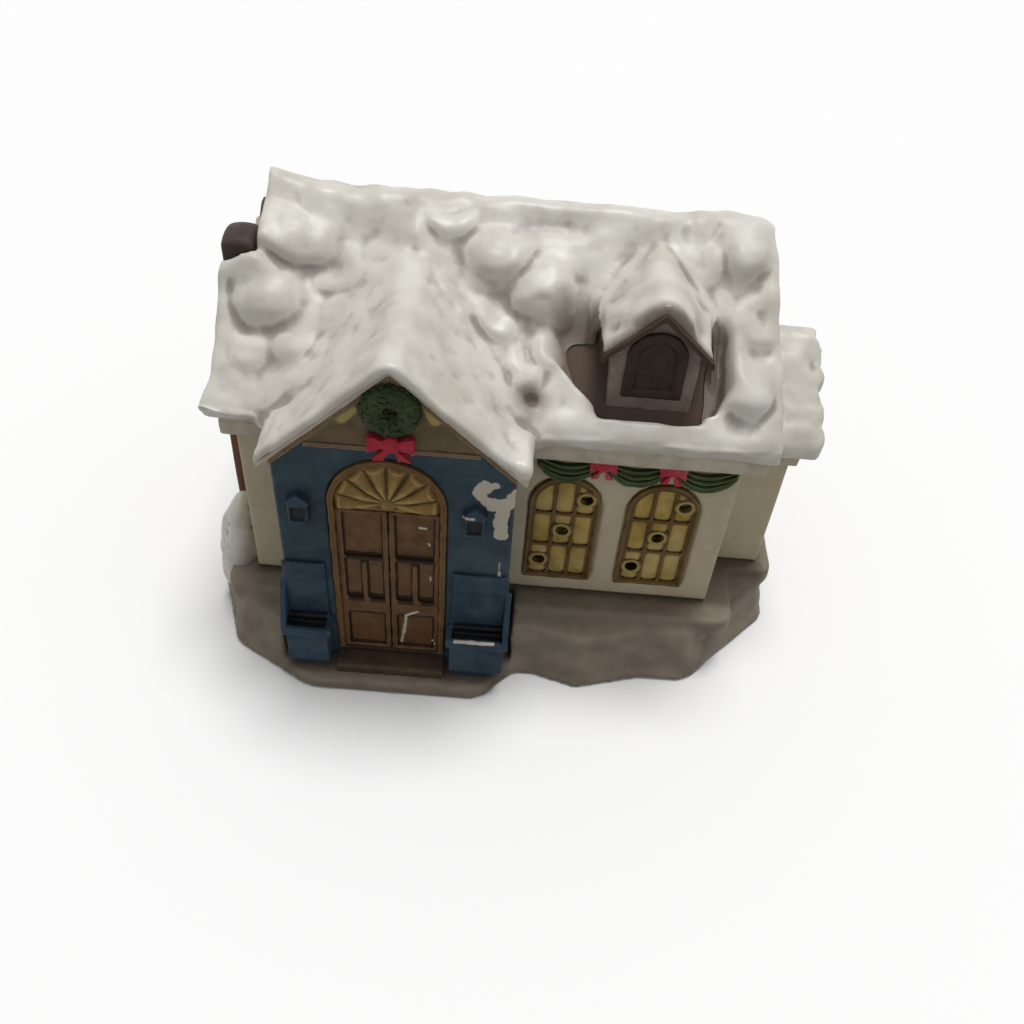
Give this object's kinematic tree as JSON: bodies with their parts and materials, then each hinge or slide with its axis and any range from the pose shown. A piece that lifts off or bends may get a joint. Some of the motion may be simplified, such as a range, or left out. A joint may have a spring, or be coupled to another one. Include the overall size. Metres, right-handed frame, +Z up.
{
  "type": "ceramic christmas village house",
  "caption": "Small glazed ceramic winter house with snowy roofs, an entry gable, pierced windows and a pull-out battery light in its floor.",
  "frame": {"origin": "middle of the plinth's outline on the plane the house stands on", "axes": "+X to the viewer's right along the front wall, -Y out of the front door, +Z up"},
  "size_m": [0.1163, 0.083, 0.082],
  "materials": {
    "snow_glaze": "glossy white glaze",
    "bank_glaze": "glossy warm white glaze",
    "wall_glaze": "glossy cream glaze",
    "taupe_glaze": "satin taupe paint under glaze",
    "blue_glaze": "glossy slate blue paint",
    "door_glaze": "glossy brown paint",
    "gold_glaze": "glossy ochre paint",
    "tan_glaze": "glossy tan paint",
    "green_glaze": "glossy dark green paint",
    "red_glaze": "glossy red paint",
    "pane_glaze": "glossy yellow paint",
    "frame_glaze": "glossy brown paint",
    "roof_glaze": "satin brown paint",
    "brick_glaze": "satin red brown paint",
    "bare_clay": "bare fired clay",
    "light_shell": "moulded white plastic",
    "grip_rubber": "soft black rubber",
    "board_laminate": "green laminate",
    "lamp_lens": "clear warm resin",
    "cell_steel": "plated steel",
    "spring_brass": "bright brass",
    "switch_black": "moulded black plastic"
  },
  "bodies": {
    "house": {"door_surround": "gold_glaze", "doorstep": "door_glaze", "dormer_body": "taupe_glaze", "dormer_left_bargeboard": "tan_glaze", "dormer_right_bargeboard": "tan_glaze", "dormer_roof": "roof_glaze", "dormer_window": "frame_glaze", "end_chimney": "brick_glaze", "entry_bay": "blue_glaze", "entry_left_bargeboard": "tan_glaze", "entry_right_bargeboard": "tan_glaze", "entry_roof": "roof_glaze", "fanlight": "gold_glaze", "floor_plate": "bare_clay", "left_door_leaf": "door_glaze", "left_lantern": "blue_glaze", "left_planter": "blue_glaze", "left_swag": "green_glaze", "left_swag_bow": "red_glaze", "left_window_frame": "frame_glaze", "left_window_panes": "pane_glaze", "main_roof": "roof_glaze", "middle_swag": "green_glaze", "pediment_moulding": "tan_glaze", "pediment_panel": "tan_glaze", "plinth": "bank_glaze", "right_door_leaf": "door_glaze", "right_lantern": "blue_glaze", "right_planter": "blue_glaze", "right_swag": "green_glaze", "right_swag_bow": "red_glaze", "right_window_frame": "frame_glaze", "right_window_panes": "pane_glaze", "roof_snow": "snow_glaze", "side_wing": "wall_glaze", "snowy_shrub": "snow_glaze", "wall_shell": "wall_glaze", "wing_roof": "roof_glaze", "wing_snow": "snow_glaze", "wreath": "green_glaze", "wreath_bow": "red_glaze"},
    "light": {"light_base": "light_shell", "light_housing": "light_shell", "retaining_ring": "grip_rubber", "circuit_board": "board_laminate", "led_lamp": "lamp_lens", "coin_cells": "cell_steel", "contact_spring": "spring_brass", "switch_body": "switch_black"},
    "cover": {"battery_cover": "light_shell"},
    "knob": {"switch_knob": "switch_black"}
  },
  "joints": [
    {"name": "light_pull", "type": "slide", "parent": "house", "child": "light", "axis": [0, 0, -1], "range_m": [0, 0.03]},
    {"name": "cover_pull", "type": "slide", "parent": "light", "child": "cover", "axis": [0, 0, -1], "range_m": [0, 0.012]},
    {"name": "switch_slide", "type": "slide", "parent": "light", "child": "knob", "axis": [1, 0, 0], "range_m": [0, 0.003]}
  ]
}
